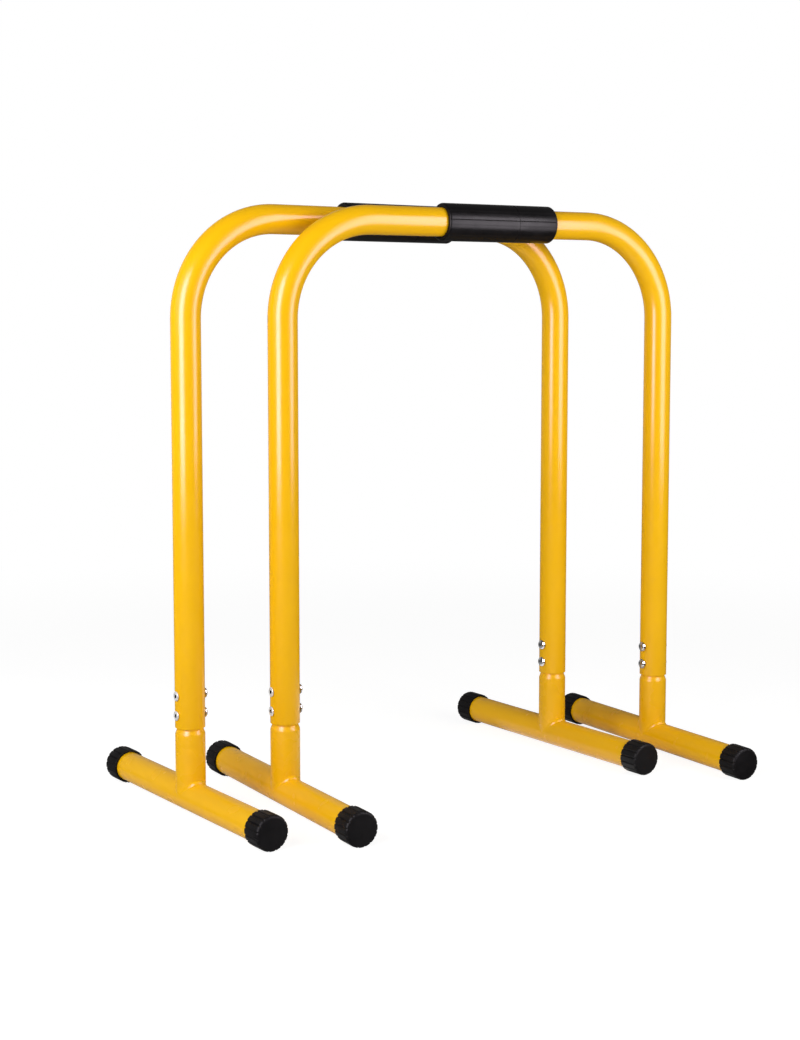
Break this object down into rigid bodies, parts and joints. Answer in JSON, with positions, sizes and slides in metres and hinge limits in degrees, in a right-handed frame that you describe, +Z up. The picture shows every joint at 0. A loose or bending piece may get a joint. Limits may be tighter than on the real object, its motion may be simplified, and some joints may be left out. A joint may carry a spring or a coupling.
{
  "type": "parallette bars",
  "caption": "Pair of tall free-standing dip bars: bent steel tube frames on bolted T feet with ribbed end caps and a sleeve grip.",
  "frame": {"origin": "on the floor, under the middle of the pair's box", "axes": "+X along the top bars, between the bars' two directions, which lie 4.64 degrees apart; +Y along the feet, from the near bar to the far one; +Z up"},
  "size_m": [0.77, 0.4994, 0.777],
  "materials": {
    "frame_paint": "gloss powder coat over steel tube",
    "foot_paint": "gloss powder coat over steel tube",
    "neck_paint": "gloss powder coat over steel tube",
    "weld_paint": "powder coat over a rippled weld bead",
    "grip_sleeve": "smooth, glossy",
    "cap_rubber": "satin, ribbed",
    "bolt_steel": "bright plated",
    "nut_steel": "bright plated"
  },
  "bodies": {
    "root": {"near_frame": "frame_paint", "near_grip": "grip_sleeve", "near_left_foot_tube": "foot_paint", "near_left_neck": "neck_paint", "near_left_weld": "weld_paint", "near_left_front_cap": "cap_rubber", "near_left_back_cap": "cap_rubber", "near_left_lower_bolt": "bolt_steel", "near_left_upper_bolt": "bolt_steel", "near_left_lower_nut": "nut_steel", "near_left_upper_nut": "nut_steel", "near_right_foot_tube": "foot_paint", "near_right_neck": "neck_paint", "near_right_weld": "weld_paint", "near_right_front_cap": "cap_rubber", "near_right_back_cap": "cap_rubber", "near_right_lower_bolt": "bolt_steel", "near_right_upper_bolt": "bolt_steel", "near_right_lower_nut": "nut_steel", "near_right_upper_nut": "nut_steel", "far_frame": "frame_paint", "far_grip": "grip_sleeve", "far_left_foot_tube": "foot_paint", "far_left_neck": "neck_paint", "far_left_weld": "weld_paint", "far_left_front_cap": "cap_rubber", "far_left_back_cap": "cap_rubber", "far_left_lower_bolt": "bolt_steel", "far_left_upper_bolt": "bolt_steel", "far_left_lower_nut": "nut_steel", "far_left_upper_nut": "nut_steel", "far_right_foot_tube": "foot_paint", "far_right_neck": "neck_paint", "far_right_weld": "weld_paint", "far_right_front_cap": "cap_rubber", "far_right_back_cap": "cap_rubber", "far_right_lower_bolt": "bolt_steel", "far_right_upper_bolt": "bolt_steel", "far_right_lower_nut": "nut_steel", "far_right_upper_nut": "nut_steel"}
  },
  "joints": []
}
